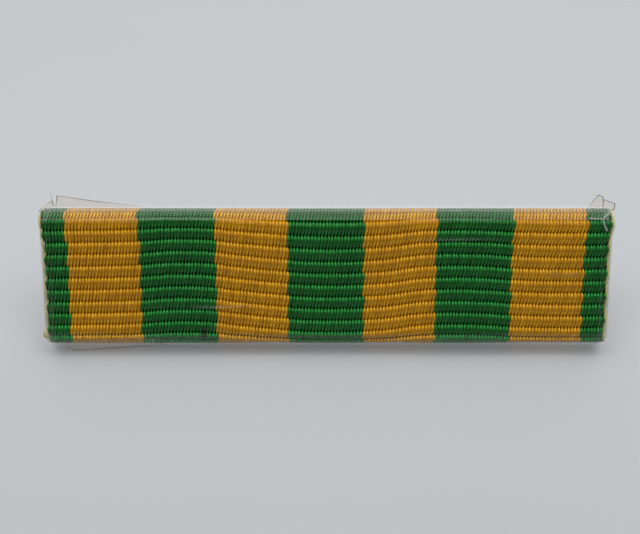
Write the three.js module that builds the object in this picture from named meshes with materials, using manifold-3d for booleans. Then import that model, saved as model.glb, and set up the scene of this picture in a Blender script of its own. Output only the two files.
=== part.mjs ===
// Service ribbon bar: a grosgrain ribbon wrapped over a stiff metal bar, sleeved in clear film,
// with a hinged pin and a turning safety catch on its back.
//
// Millimetres. +Z is up as worn, +Y points into the garment and +X is to the right of someone
// who looks at the ribbon. The origin is the centre of the wrapped bar's back.

import * as THREE from 'three';
import * as BufferGeometryUtils from 'three/addons/utils/BufferGeometryUtils.js';
import Module from 'manifold-3d';

const wasm = await Module();
wasm.setup();

// ---------------------------------------------------------------- driving dimensions

const ARC_STEPS = 8; // segments in each rounded edge
const ROUND_STEPS = 36; // segments in each full circle

const CORE = { length: 36.4, height: 8.1, thickness: 1.2, edgeRadius: 0.5, cornerRadius: 0.8 };

const RIBBON = { width: 37.0, thickness: 0.5, tailGap: 2.0, edgeClearance: 0.05 };

const TAIL_TAPE = { length: 34.0, height: 2.1, thickness: 0.1, clearance: 0.02, inset: 0.15 };

const FILM = {
  length: 37.6,
  thickness: 0.1,
  clearance: 0.06, // to the ribbon
  lapClearance: 0.03, // between the two layers on the back
  lapTop: 2.3, // height of the outer flap's free edge above the centre
  joggle: 0.1, // height over which the inner flap steps in under the outer one
  joggleGap: 0.06, // between the outer flap's free edge and that step
  lapBottom: -2.6, // height of the inner flap's free edge
};

const EAR = { width: 1.3, rise: 0.85, inset: 1.15, lean: 0.25 }; // the film's pinched upper corners

const PAD = { length: 26.4, height: 4.2, thickness: 0.4, cornerRadius: 1.2 };

const PLATE = {
  length: 28.0,
  height: 4.6,
  thickness: 0.5,
  cornerRadius: 1.5,
  holeRadius: 0.8,
  holeSpacing: 9.0,
};

const PIN = {
  hingeX: 11.2, // from the centre to the hinge axis
  radius: 0.4,
  standOff: 1.35, // from the plate's outer face to the wire's axis
  eyeRadius: 0.95,
  eyeHoleRadius: 0.47,
  tipX: -13.1,
  taper: 4.2, // length of the point
};

// The point's profile: the share of the wire's radius left, at the share of the point still to go.
const POINT_PROFILE = [
  { radius: 1.0, toGo: 1.0 },
  { radius: 0.78, toGo: 0.5 },
  { radius: 0.4, toGo: 0.18 },
  { radius: 0.0, toGo: 0.0 },
];

const RIVET = {
  radius: 0.4,
  headRadius: 0.68,
  headHeight: 0.28,
  headFlatRadius: 0.41,
  headRimHeight: 0.17,
};

const BRACKET = {
  length: 3.2,
  height: 3.4,
  baseThickness: 0.3,
  earInner: 0.52,
  earThickness: 0.4,
  earRadius: 1.1,
  boreClearance: 0.02, // to the rivet
};

const CATCH = {
  x: -10.9, // middle of the housing
  length: 1.9,
  innerRadius: 1.02,
  outerRadius: 1.34,
  mouth: 1.04,
  footHeight: 3.4,
  footThickness: 0.24,
};

const DRUM = {
  radius: 0.95,
  boreRadius: 0.47,
  slot: 0.94,
  flangeRadius: 1.22,
  flangeThickness: 0.35,
  flangeGap: 0.05,
  leverReach: 2.2,
  leverWidth: 0.9,
};

const GLUE_LINE = 0.02; // between pieces that are bonded face to face
const CUT_MARGIN = 1.0; // how far a cutting solid runs past what it cuts
const MERGE_DISTANCE = 1e-5; // corners closer than this are one corner

// ---------------------------------------------------------------- layers, from back to front

const filmBack = 0;
const filmInnerLap = filmBack - FILM.thickness - FILM.lapClearance;
const tailBack = filmInnerLap - FILM.thickness - FILM.clearance;
const tailFront = tailBack - RIBBON.thickness;
const tapeBack = tailFront - TAIL_TAPE.clearance;
const coreBack = tapeBack - TAIL_TAPE.thickness - TAIL_TAPE.clearance;
const coreFront = coreBack - CORE.thickness;
const ribbonInner = coreFront - RIBBON.edgeClearance;
const ribbonFront = ribbonInner - RIBBON.thickness;
const filmInner = ribbonFront - FILM.clearance;
const filmFront = filmInner - FILM.thickness;

const ribbonHalfHeight = CORE.height / 2 + RIBBON.edgeClearance + RIBBON.thickness;
const filmHalfHeight = ribbonHalfHeight + FILM.clearance + FILM.thickness;

const padBack = filmBack + GLUE_LINE + PAD.thickness;
const plateInner = padBack + GLUE_LINE;
const plateOuter = plateInner + PLATE.thickness;
const wireY = plateOuter + PIN.standOff;

// ---------------------------------------------------------------- helpers

function solid(geometry) {
  const bare = geometry.index ? geometry.toNonIndexed() : geometry.clone();
  bare.deleteAttribute('normal');
  bare.deleteAttribute('uv');
  const merged = BufferGeometryUtils.mergeVertices(bare, MERGE_DISTANCE);
  return new wasm.Manifold(
    new wasm.Mesh({
      numProp: 3,
      vertProperties: new Float32Array(merged.attributes.position.array),
      triVerts: new Uint32Array(merged.index.array),
    }),
  );
}

function geometryOf(manifold) {
  const mesh = manifold.getMesh();
  const geometry = new THREE.BufferGeometry();
  const positions = new Float32Array(mesh.vertProperties);
  geometry.setAttribute('position', new THREE.BufferAttribute(positions, 3));
  geometry.setIndex(new THREE.BufferAttribute(new Uint32Array(mesh.triVerts), 1));
  geometry.computeVertexNormals();
  return geometry;
}

// Extrudes a section drawn as (Y, Z) along X, centred on x.
function alongX(shape, length, x = 0) {
  const geometry = new THREE.ExtrudeGeometry(shape, {
    depth: length,
    bevelEnabled: false,
    curveSegments: ARC_STEPS,
  });
  geometry.applyMatrix4(
    new THREE.Matrix4().makeBasis(
      new THREE.Vector3(0, 1, 0),
      new THREE.Vector3(0, 0, 1),
      new THREE.Vector3(1, 0, 0),
    ),
  );
  return geometry.translate(x - length / 2, 0, 0);
}

// Extrudes an outline drawn as (X, Z) from y0 to y1.
function alongY(shape, y0, y1) {
  const geometry = new THREE.ExtrudeGeometry(shape, {
    depth: y1 - y0,
    bevelEnabled: false,
    curveSegments: ARC_STEPS,
  });
  return geometry.rotateX(Math.PI / 2).translate(0, y1, 0);
}

// Extrudes an outline drawn as (X, Y) along Z, centred on z.
function alongZ(shape, height, z = 0) {
  const geometry = new THREE.ExtrudeGeometry(shape, {
    depth: height,
    bevelEnabled: false,
    curveSegments: ROUND_STEPS,
  });
  return geometry.translate(0, 0, z - height / 2);
}

function roundedRectangle(width, height, radius, centreX = 0, centreY = 0) {
  const [x0, x1] = [centreX - width / 2, centreX + width / 2];
  const [y0, y1] = [centreY - height / 2, centreY + height / 2];
  const shape = new THREE.Shape();
  shape.moveTo(x0 + radius, y0);
  shape.lineTo(x1 - radius, y0);
  shape.absarc(x1 - radius, y0 + radius, radius, -Math.PI / 2, 0, false);
  shape.lineTo(x1, y1 - radius);
  shape.absarc(x1 - radius, y1 - radius, radius, 0, Math.PI / 2, false);
  shape.lineTo(x0 + radius, y1);
  shape.absarc(x0 + radius, y1 - radius, radius, Math.PI / 2, Math.PI, false);
  shape.lineTo(x0, y0 + radius);
  shape.absarc(x0 + radius, y0 + radius, radius, Math.PI, Math.PI * 1.5, false);
  return shape;
}

function box(x0, x1, y0, y1, z0, z1) {
  const geometry = new THREE.BoxGeometry(x1 - x0, y1 - y0, z1 - z0);
  return geometry.translate((x0 + x1) / 2, (y0 + y1) / 2, (z0 + z1) / 2);
}

function cylinderAlongX(radius, x0, x1) {
  const geometry = new THREE.CylinderGeometry(radius, radius, x1 - x0, ROUND_STEPS);
  return geometry.rotateZ(Math.PI / 2).translate((x0 + x1) / 2, wireY, 0);
}

function cylinderAlongZ(radius, height, z = 0) {
  const geometry = new THREE.CylinderGeometry(radius, radius, height, ROUND_STEPS);
  return geometry.rotateX(Math.PI / 2).translate(PIN.hingeX, wireY, z);
}

function circleHole(x, y, radius) {
  const path = new THREE.Path();
  path.absarc(x, y, radius, 0, Math.PI * 2, true);
  return path;
}

// The section of a band that wraps the bar, as (Y, Z): its upper flap on the back, over the top edge,
// down the front, round the bottom edge and up over the back again. upperFlap lists the flap's outer
// points from its free edge up, and lowerEnd is the height of the lower flap's free edge.
function wrapSection({ front, back, halfHeight, thickness, radius, upperFlap, lowerEnd }) {
  const inner = radius - thickness;
  const top = halfHeight - radius;
  const shape = new THREE.Shape();
  const [freeEdge, ...steps] = upperFlap;
  shape.moveTo(freeEdge[0], freeEdge[1]);
  for (const [y, z] of steps) {
    shape.lineTo(y, z);
  }
  shape.lineTo(back, top);
  shape.absarc(back - radius, top, radius, 0, Math.PI / 2, false);
  shape.lineTo(front + radius, halfHeight);
  shape.absarc(front + radius, top, radius, Math.PI / 2, Math.PI, false);
  shape.lineTo(front, -top);
  shape.absarc(front + radius, -top, radius, Math.PI, Math.PI * 1.5, false);
  shape.lineTo(back - radius, -halfHeight);
  shape.absarc(back - radius, -top, radius, -Math.PI / 2, 0, false);
  shape.lineTo(back, lowerEnd);
  shape.lineTo(back - thickness, lowerEnd);
  shape.lineTo(back - thickness, -top);
  shape.absarc(back - radius, -top, inner, 0, -Math.PI / 2, true);
  shape.lineTo(front + radius, -halfHeight + thickness);
  shape.absarc(front + radius, -top, inner, Math.PI * 1.5, Math.PI, true);
  shape.lineTo(front + thickness, top);
  shape.absarc(front + radius, top, inner, Math.PI, Math.PI / 2, true);
  shape.lineTo(back - radius, halfHeight - thickness);
  shape.absarc(back - radius, top, inner, Math.PI / 2, 0, true);
  for (const [y, z] of steps.toReversed()) {
    shape.lineTo(y - thickness, z);
  }
  shape.lineTo(freeEdge[0] - thickness, freeEdge[1]);
  return shape;
}

const group = new THREE.Group();

function addPart(name, geometry, color, roughness, metalness, extra = {}) {
  const material = new THREE.MeshStandardMaterial({ color, roughness, metalness, ...extra });
  const mesh = new THREE.Mesh(geometry, material);
  mesh.name = name;
  group.add(mesh);
}

// ---------------------------------------------------------------- core bar

function coreBar() {
  const middleY = (coreBack + coreFront) / 2;
  const section = roundedRectangle(CORE.thickness, CORE.height, CORE.edgeRadius, middleY);
  const outline = roundedRectangle(CORE.length, CORE.height, CORE.cornerRadius);
  const swept = solid(alongX(section, CORE.length));
  return geometryOf(swept.intersect(solid(alongY(outline, coreFront, coreBack))));
}

addPart('core_bar', coreBar(), 0xb9bbbd, 0.42, 1.0);

// ---------------------------------------------------------------- ribbon and its tapes

const ribbonRadius = CORE.edgeRadius + RIBBON.edgeClearance + RIBBON.thickness;

const ribbonSection = wrapSection({
  front: ribbonFront,
  back: tailBack,
  halfHeight: ribbonHalfHeight,
  thickness: RIBBON.thickness,
  radius: ribbonRadius,
  upperFlap: [[tailBack, RIBBON.tailGap / 2]],
  lowerEnd: -RIBBON.tailGap / 2,
});

addPart('ribbon', alongX(ribbonSection, RIBBON.width), 0x1f7a43, 0.75, 0.0);

const tapeMiddle = RIBBON.tailGap / 2 + TAIL_TAPE.height / 2 + TAIL_TAPE.inset;

for (const [name, side] of [['tail_tape_upper', 1], ['tail_tape_lower', -1]]) {
  const z = side * tapeMiddle;
  const tape = box(
    -TAIL_TAPE.length / 2,
    TAIL_TAPE.length / 2,
    tapeBack - TAIL_TAPE.thickness,
    tapeBack,
    z - TAIL_TAPE.height / 2,
    z + TAIL_TAPE.height / 2,
  );
  addPart(name, tape, 0xe9e4d2, 0.6, 0.0);
}

// ---------------------------------------------------------------- clear film

const filmRadius = ribbonRadius + FILM.clearance + FILM.thickness;
const filmMiddle = (filmFront + filmBack) / 2;

// The lower flap laps over the upper one on the back, and the slit between them stays open. The upper
// flap steps in under it, so that the back is flush.
function filmSleeve() {
  const stepLow = FILM.lapTop + FILM.joggleGap;
  const stepHigh = stepLow + FILM.joggle;
  const section = wrapSection({
    front: filmFront,
    back: filmBack,
    halfHeight: filmHalfHeight,
    thickness: FILM.thickness,
    radius: filmRadius,
    upperFlap: [[filmInnerLap, FILM.lapBottom], [filmInnerLap, stepLow], [filmBack, stepHigh]],
    lowerEnd: FILM.lapTop,
  });
  return solid(alongX(section, FILM.length));
}

// Closes one end of the sleeve. Its rim lies inside the thickness of the sleeve's film.
function filmEndWall(side) {
  const outline = roundedRectangle(
    filmBack - filmFront - FILM.thickness,
    filmHalfHeight * 2 - FILM.thickness,
    filmRadius - FILM.thickness / 2,
    filmMiddle,
  );
  return solid(alongX(outline, FILM.thickness, (side * (FILM.length - FILM.thickness)) / 2));
}

// Two layers pinched together stand up from each upper corner.
function filmEar(side) {
  const root = side * (FILM.length / 2 - EAR.inset);
  const foot = filmHalfHeight - FILM.thickness / 2;
  const outline = new THREE.Shape();
  outline.moveTo(root - EAR.width / 2, foot);
  outline.lineTo(root + EAR.width / 2, foot);
  outline.lineTo(root + side * EAR.lean, filmHalfHeight + EAR.rise);
  return solid(alongY(outline, filmMiddle - FILM.thickness, filmMiddle + FILM.thickness));
}

function clearFilm() {
  let film = filmSleeve();
  for (const side of [-1, 1]) {
    film = film.add(filmEndWall(side)).add(filmEar(side));
  }
  return geometryOf(film);
}

addPart('clear_film', clearFilm(), 0xe8edf0, 0.12, 0.0, { transparent: true, opacity: 0.35 });

// ---------------------------------------------------------------- pin back: pad and plate

const padOutline = roundedRectangle(PAD.length, PAD.height, PAD.cornerRadius);
addPart('pin_pad', alongY(padOutline, filmBack + GLUE_LINE, padBack), 0xf1efe8, 0.85, 0.0);

function pinPlate() {
  const outline = roundedRectangle(PLATE.length, PLATE.height, PLATE.cornerRadius);
  for (const side of [-1, 1]) {
    outline.holes.push(circleHole((side * PLATE.holeSpacing) / 2, 0, PLATE.holeRadius));
  }
  return alongY(outline, plateInner, plateOuter);
}

addPart('pin_plate', pinPlate(), 0xc9cbcc, 0.28, 1.0);

// ---------------------------------------------------------------- hinge

function hingeBracket() {
  const baseY = plateOuter + GLUE_LINE;
  const { length, height, baseThickness, earInner, earThickness, earRadius, boreClearance } = BRACKET;
  const x0 = PIN.hingeX - length / 2;
  const x1 = PIN.hingeX + length / 2;
  let bracket = solid(box(x0, x1, baseY, baseY + baseThickness, -height / 2, height / 2));
  for (const side of [-1, 1]) {
    const ear = new THREE.Shape();
    ear.moveTo(x0, baseY);
    ear.lineTo(x1, baseY);
    ear.lineTo(PIN.hingeX + earRadius, wireY);
    ear.absarc(PIN.hingeX, wireY, earRadius, 0, Math.PI, false);
    ear.lineTo(x0, baseY);
    const z = side * (earInner + earThickness / 2);
    bracket = bracket.add(solid(alongZ(ear, earThickness, z)));
  }
  const bore = solid(cylinderAlongZ(RIVET.radius + boreClearance, height + CUT_MARGIN));
  return geometryOf(bracket.subtract(bore));
}

addPart('hinge_bracket', hingeBracket(), 0xc4c6c8, 0.3, 1.0);

function hingeRivet() {
  const shoulder = BRACKET.earInner + BRACKET.earThickness + GLUE_LINE;
  const end = shoulder + RIVET.headHeight;
  const rim = shoulder + RIVET.headRimHeight;
  const { radius, headRadius, headFlatRadius } = RIVET;
  const profile = [
    new THREE.Vector2(0, -end),
    new THREE.Vector2(headFlatRadius, -end),
    new THREE.Vector2(headRadius, -rim),
    new THREE.Vector2(headRadius, -shoulder),
    new THREE.Vector2(radius, -shoulder),
    new THREE.Vector2(radius, shoulder),
    new THREE.Vector2(headRadius, shoulder),
    new THREE.Vector2(headRadius, rim),
    new THREE.Vector2(headFlatRadius, end),
    new THREE.Vector2(0, end),
  ];
  const geometry = new THREE.LatheGeometry(profile, ROUND_STEPS);
  return geometry.rotateX(Math.PI / 2).translate(PIN.hingeX, wireY, 0);
}

addPart('hinge_rivet', hingeRivet(), 0xd0d1d2, 0.25, 1.0);

// ---------------------------------------------------------------- pin

function pinNeedle() {
  const eye = new THREE.Shape();
  eye.absarc(PIN.hingeX, wireY, PIN.eyeRadius, 0, Math.PI * 2, false);
  eye.holes.push(circleHole(PIN.hingeX, wireY, PIN.eyeHoleRadius));
  const flattened = solid(alongZ(eye, PIN.radius * 2));
  const start = PIN.hingeX - (PIN.eyeRadius + PIN.eyeHoleRadius) / 2;
  const length = start - PIN.tipX;
  const profile = [new THREE.Vector2(0, 0), new THREE.Vector2(PIN.radius, 0)];
  for (const { radius, toGo } of POINT_PROFILE) {
    profile.push(new THREE.Vector2(PIN.radius * radius, length - PIN.taper * toGo));
  }
  const wire = new THREE.LatheGeometry(profile, ROUND_STEPS);
  wire.rotateZ(Math.PI / 2).translate(start, wireY, 0);
  return geometryOf(flattened.add(solid(wire)));
}

addPart('pin_needle', pinNeedle(), 0xd6d8da, 0.18, 1.0);

// ---------------------------------------------------------------- safety catch

function catchHousing() {
  const { x, length, innerRadius, outerRadius, mouth, footHeight, footThickness } = CATCH;
  const x0 = x - length / 2;
  const x1 = x + length / 2;
  const footY = plateOuter + GLUE_LINE;
  const foot = box(x0, x1, footY, footY + footThickness, -footHeight / 2, footHeight / 2);
  const ring = solid(cylinderAlongX(outerRadius, x0, x1));
  const cut0 = x0 - CUT_MARGIN;
  const cut1 = x1 + CUT_MARGIN;
  const bore = solid(cylinderAlongX(innerRadius, cut0, cut1));
  const opening = solid(box(cut0, cut1, wireY, wireY + outerRadius + CUT_MARGIN, -mouth / 2, mouth / 2));
  const below = solid(box(cut0, cut1, plateInner, footY, -footHeight, footHeight));
  return geometryOf(ring.add(solid(foot)).subtract(bore).subtract(opening).subtract(below));
}

addPart('catch_housing', catchHousing(), 0xc4c6c8, 0.3, 1.0);

function catchDrum() {
  const { radius, boreRadius, slot, flangeRadius, flangeThickness, flangeGap, leverReach, leverWidth } = DRUM;
  const x0 = CATCH.x - CATCH.length / 2 - flangeGap;
  const x1 = CATCH.x + CATCH.length / 2 + flangeGap;
  const end0 = x0 - flangeThickness;
  const end1 = x1 + flangeThickness;
  const cut0 = end0 - CUT_MARGIN;
  const cut1 = end1 + CUT_MARGIN;
  const outboard = solid(cylinderAlongX(flangeRadius, end0, x0));
  const inboard = solid(cylinderAlongX(flangeRadius, x1, end1));
  const halfLever = leverWidth / 2;
  const lever = box(end0, x0, wireY - halfLever, wireY + halfLever, -leverReach, -boreRadius);
  const bore = solid(cylinderAlongX(boreRadius, cut0, cut1));
  const opening = solid(box(cut0, cut1, wireY, wireY + flangeRadius + CUT_MARGIN, -slot / 2, slot / 2));
  const barrel = solid(cylinderAlongX(radius, end0, end1));
  return geometryOf(barrel.add(outboard).add(inboard).add(solid(lever)).subtract(bore).subtract(opening));
}

addPart('catch_drum', catchDrum(), 0xaeb0b2, 0.32, 1.0);

export default group;
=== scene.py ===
"""Service ribbon bar: the cloth, the clear film, the finishes and the stage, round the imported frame.

Metres. +Z is up as worn, +Y points into the garment and +X is to the right of someone who looks at
the ribbon. Cloth is laid out flat first, as (across, up the front, outwards), and then wrapped.
"""

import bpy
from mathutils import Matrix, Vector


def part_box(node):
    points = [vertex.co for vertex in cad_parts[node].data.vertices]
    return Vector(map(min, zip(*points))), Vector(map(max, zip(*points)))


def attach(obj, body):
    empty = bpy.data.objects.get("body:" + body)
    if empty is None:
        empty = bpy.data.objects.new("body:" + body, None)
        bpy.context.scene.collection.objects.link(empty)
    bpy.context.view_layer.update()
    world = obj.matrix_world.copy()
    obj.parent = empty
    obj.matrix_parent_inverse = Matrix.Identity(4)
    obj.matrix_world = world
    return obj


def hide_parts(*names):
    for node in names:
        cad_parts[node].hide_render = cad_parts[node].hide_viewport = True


bl_info = {
    "name": "Service ribbon bar",
    "version": (1, 0, 0),
    "blender": (4, 5, 0),
    "location": "3D View > Sidebar > Ribbon bar",
    "description": "Weaves and wraps a striped ribbon bar, sleeves it in film and finishes its fittings",
    "category": "Object",
}

import math

import bpy
import numpy as np
from bpy.props import FloatProperty, FloatVectorProperty, IntProperty, PointerProperty
from mathutils import Vector

MM = 0.001

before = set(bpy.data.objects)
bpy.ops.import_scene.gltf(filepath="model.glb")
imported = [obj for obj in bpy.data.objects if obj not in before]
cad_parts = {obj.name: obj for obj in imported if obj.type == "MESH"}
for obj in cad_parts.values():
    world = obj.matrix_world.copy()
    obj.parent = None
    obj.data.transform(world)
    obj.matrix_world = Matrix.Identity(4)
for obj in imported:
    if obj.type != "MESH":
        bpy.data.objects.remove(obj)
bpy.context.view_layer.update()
RIBBON_LOW, RIBBON_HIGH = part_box("ribbon")
FILM_LOW, FILM_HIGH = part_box("clear_film")

RIBBON_WIDTH = RIBBON_HIGH.x - RIBBON_LOW.x
FILM_LENGTH = FILM_HIGH.x - FILM_LOW.x
FILM_HALF_HEIGHT = -FILM_LOW.z

# How far the ribs drift down the front, at places across the ribbon, in millimetres.
RIB_DRIFT = (
    (-18.5, 0.0),
    (-13.0, -0.08),
    (-9.3, -0.29),
    (-6.0, 0.0),
    (-3.4, 0.27),
    (-0.2, 0.47),
    (3.0, 0.4),
    (7.5, -0.06),
    (9.5, -0.06),
    (13.0, 0.14),
    (16.0, 0.2),
    (18.5, 0.16),
)
DRIFT_RANGE = 2.0  # millimetres of drift from the bottom to the top of the curve that holds it

# Where the drift sets in and dies away along the ribbon, in millimetres: from the upper tail's end, and
# back from the lower tail's end.
DRIFT_GROWS = (1.5, 8.5)
DRIFT_FADES = (3.5, 1.0)

# Over the top fold the ribs are drawn back a little and the ribbon spreads. Each acts between four
# places along the ribbon, in millimetres: it sets in from the first to the second and dies away from
# the third to the fourth.
TOP_SLIP = 0.25 * MM
TOP_SLIP_SPAN = (1.8, 4.2, 4.7, 6.3)
TOP_SPREAD = 0.01  # share of the width
TOP_SPREAD_SPAN = (3.4, 4.6, 6.0, 7.4)

TAIL_LEAD = 0.6 * MM  # how far the guide line runs on past each cut end
GUIDE_STEP = 0.1 * MM

# One warp float from its upper end, 0, to its lower end, 1: the share of its width, of its dip and of
# its lean.
FLOAT_WIDTHS = (
    (0.0, 0.0),
    (0.125, 0.66),
    (0.25, 1.0),
    (0.375, 0.98),
    (0.5, 0.74),
    (0.625, 0.5),
    (0.75, 0.4),
    (1.0, 0.15),
)
FLOAT_DIPS = (
    (0.0, 0.5),
    (0.125, 0.2),
    (0.25, 0.03),
    (0.375, 0.0),
    (0.5, 0.08),
    (0.625, 0.25),
    (0.75, 0.5),
    (1.0, 1.0),
)
FLOAT_LEANS = ((0.0, 0.0), (0.35, 0.04), (0.69, 0.7), (1.0, 1.0))
FLOAT_SIDES = 6
FLOAT_RINGS = 8
GROUND_ROWS = 8  # rows of faces in one rib of the cloth under the floats

# How unevenly the floats lie: sideways in threads, turned in radians, and the spread of their sizes.
FLOAT_WANDER = 0.045
FLOAT_TURN = 0.03
FLOAT_SIZES = (0.95, 1.05)
FLOAT_STRETCHES = (0.97, 1.03)

# Painted highlight and painted shade along a float, and the powers by which red, green and blue fall with
# it.
GREEN_PAINTED_LIGHT = (
    (0.0, 1.0),
    (0.11, 1.0),
    (0.16, 0.78),
    (0.22, 0.5),
    (0.33, 0.26),
    (0.4, 0.28),
    (0.5, 0.5),
    (0.64, 0.85),
    (0.74, 0.12),
)
GREEN_SHADE_POWERS = (1.2, 1.0, 1.2)
GOLD_PAINTED_LIGHT = (
    (0.0, 0.98),
    (0.11, 0.94),
    (0.16, 0.74),
    (0.22, 0.56),
    (0.33, 0.47),
    (0.4, 0.54),
    (0.5, 0.85),
    (0.64, 1.0),
    (0.74, 0.6),
)
GOLD_SHADE_POWERS = (1.0, 1.35, 1.8)

# The cloth under the floats, painted dark as the shade between them, as shares of the warp colours: darkest
# and lightest.
GREEN_GROUND_SHADE = ((0.04, 0.04, 0.04), (0.12, 0.12, 0.12))
GOLD_GROUND_SHADE = ((0.5, 0.3, 0.1), (0.85, 0.55, 0.2))

# A weft turn at the ribbon's edge, as (outwards in millimetres, share of the pitch, height in millimetres).
BOW_START = (-0.02, -0.58, -0.34)
BOW_MIDDLE = (0.22, 0.0, 0.0)
BOW_END = (-0.02, 0.58, -0.2)
BOW_INSET = 0.01 * MM  # from the ribbon's edge in to the turns
BOW_STAGGER = 0.1  # share of the pitch by which each edge's turns are moved along
BOW_SIZES = (0.85, 1.1)
BOW_TIGHTNESS = 0.94  # share of the pitch that a turn keeps
LOOSE_TURN = 8  # number of the turn on the left, from 0 at the upper tail, that stands out as a loop
LOOSE_TIGHTENING = 0.3  # how much shorter that turn is

# The dark smudge on the floats: its middle, its half sizes and its colour.
STAIN = ((-8.15 * MM, -2.7 * MM, -3.7 * MM), (0.26 * MM, 1.2 * MM, 0.62 * MM), (0.02, 0.016, 0.008))

# The forked crease at the front's upper right corner, whitened as a painted glint, as straight lines
# between (X, Z) in millimetres.
CREASE = (
    ((17.2, 4.2), (18.05, 4.17)),
    ((18.05, 4.17), (18.55, 4.55)),
    ((18.05, 4.17), (18.15, 3.75)),
    ((18.15, 3.75), (18.32, 3.42)),
)
CREASE_CORE = 0.01 * MM
CREASE_REACH = 0.08 * MM
CREASE_GLINT = 0.1
CREASE_BEFORE = -1.8 * MM  # Y of the plane that it lies in front of

FILM_BACK = 0.0  # Y of the film's outer layer on the back
FILM_MIDDLE = (FILM_LOW.y + FILM_BACK) / 2

# Bits of film that stand up from the top edge or hang from the bottom edge, as (X, height over the
# edge) in millimetres.
TOP_LEAVES = (
    ((17.25, -0.06), (18.25, -0.06), (18.27, 0.4), (18.22, 0.62), (17.9, 0.78)),
    ((18.2, -0.06), (18.75, -0.3), (19.0, -0.25), (19.05, 0.18), (18.25, 0.46)),
    ((-17.85, -0.06), (-12.2, -0.06), (-12.2, 0.02), (-15.2, 0.34), (-17.72, 0.72)),
    ((-17.95, -0.06), (-17.85, -0.06), (-18.15, 0.92)),
    ((-18.98, -0.35), (-18.6, -0.42), (-17.95, -0.06), (-18.05, 0.38), (-18.65, 0.0)),
)
BOTTOM_LEAVES = (((-17.9, 0.06), (-17.1, -0.46), (-14.0, -0.3), (-10.8, -0.08), (-10.8, 0.06)),)
LEAF_RIM = 0.075 * MM  # width of a leaf's dark rim, painted shade along its cut edge
LEAF_THICKNESS = 0.06 * MM
LEAF_SEAT = 0.03 * MM  # height over the edge below which a leaf has no rim
LEAF_OVERHANG = 18.7 * MM  # distance from the middle past which it has one all the same

SLEEVE_STEP = 0.3 * MM  # between the sleeve's points round the bar
SLEEVE_ROWS = 96  # rows of those points from end to end
LAP_STEP = (0.06 * MM, 0.16 * MM)  # heights over the flap's edge between which the film steps out
CAP_GAP = 0.01 * MM  # between the sleeve and the folded end inside it
CAP_SKIRT = 0.5 * MM  # how far that end reaches in under the sleeve
CAP_LAP = 0.6  # how far the sleeve stops short of the end, as a share of the end's fold radius
CAP_DISH = 0.03 * MM  # how far the end wall is dished
CAP_BEND = 0.62 * MM  # depth at which the wall is dished half as far
CAP_SLOT = 0.1 * MM  # corner radius of the slot left in the wall

# The film's waves, as (radians per metre across, radians per metre round the bar, millimetres high). The
# slow ones wander to each side by SLOW_BEND radians as they go round.
SLOW_WAVE = (230.0, 310.0, 0.008)
QUICK_WAVE = (610.0, 820.0, 0.0035)
SLOW_BEND = 1.2
QUICK_START = 0.8  # radians
WAVE_RANGE = (0.48 * MM, 1.68 * MM)  # distances before the back between which the waves grow

# Whitening of the film, in shares of the fold haze: painted sheen where it slants up, where it slants down
# and along the crest of the top fold; plain whitening on the end walls and on the leaves.
UPPER_SHEEN = 0.07
LOWER_SHEEN = 0.02
CREST_SHEEN = 0.6
WALL_HAZE = 0.5
LEAF_HAZE = 1.3

# Where that whitening sets in and is full: for the painted sheen by how upright the film's normal is, and
# on the end walls by the distance past the film's end.
SLANT_RANGE = (0.6, 0.75)
CREST_RANGE = (0.86, 0.98)
WALL_RANGE = (-0.18 * MM, -0.06 * MM)
LEAF_RANGE = (0.9, 1.2)  # shares of haze between which the film takes on the leaves' tone

# Fine scratches: their noise is drawn out along one direction, and its highest part whitens the film.
SCRATCH_SCALE = (60.0, 300.0, 2600.0)
SCRATCH_TURN = math.radians(34.0)
SCRATCH_RANGE = (0.68, 0.74)
SCRATCH_HAZE = 0.05
# Share of dark matt film along the leaves' rims: painted shade along their cut edges.
RIM_SHADE = 0.3

# Lamps as (name, place, target, size, the setting that holds the radiance, whether it shows in
# reflections), in millimetres.
LAMPS = (
    ("stage_sky", (0, -10, 300), (0, -10, 0), (700, 370), "sky_radiance", True),
    ("stage_rim", (0, -255, 300), (0, -255, 0), (700, 120), "rim_radiance", True),
    ("stage_key", (0, -297, 268), (0, 0, 0), (500, 300), "key_radiance", False),
    ("stage_back", (60, 300, 140), (0, 0, 0), (400, 220), "back_radiance", True),
)
BOARD_REACH = 220 * MM  # from the board's foot line to its edges
BOARD_SETBACK = 0.16 * MM  # from the bar's back to the board's foot line
BOARD_CLEARANCE = 0.05 * MM  # from the film's lower edge down to that line
BOARD_PAINTED_SHADE = (-22 * MM, 14 * MM, 0.88)  # painted shade, darker towards the front: from one Y to the other, and the share left at the first
SENSOR_WIDTH = 36.0
CAMERA_TARGET = Vector((-0.41, -2.67, 0.94)) * MM


# ---------------------------------------------------------------- settings


def distance(name, description, millimetres):
    """A length that a user may change, with its default given in millimetres."""
    return FloatProperty(
        name=name,
        description=description,
        default=millimetres * MM,
        precision=6,
        unit="LENGTH",
        subtype="DISTANCE",
    )


def share(name, description, default, high=1.0):
    """A plain number from 0 up."""
    return FloatProperty(name=name, description=description, default=default, min=0.0, max=high)


def colour(name, description, default):
    """A linear colour."""
    return FloatVectorProperty(
        name=name,
        description=description,
        default=default,
        min=0.0,
        max=1.0,
        size=3,
        subtype="COLOR",
    )


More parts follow.
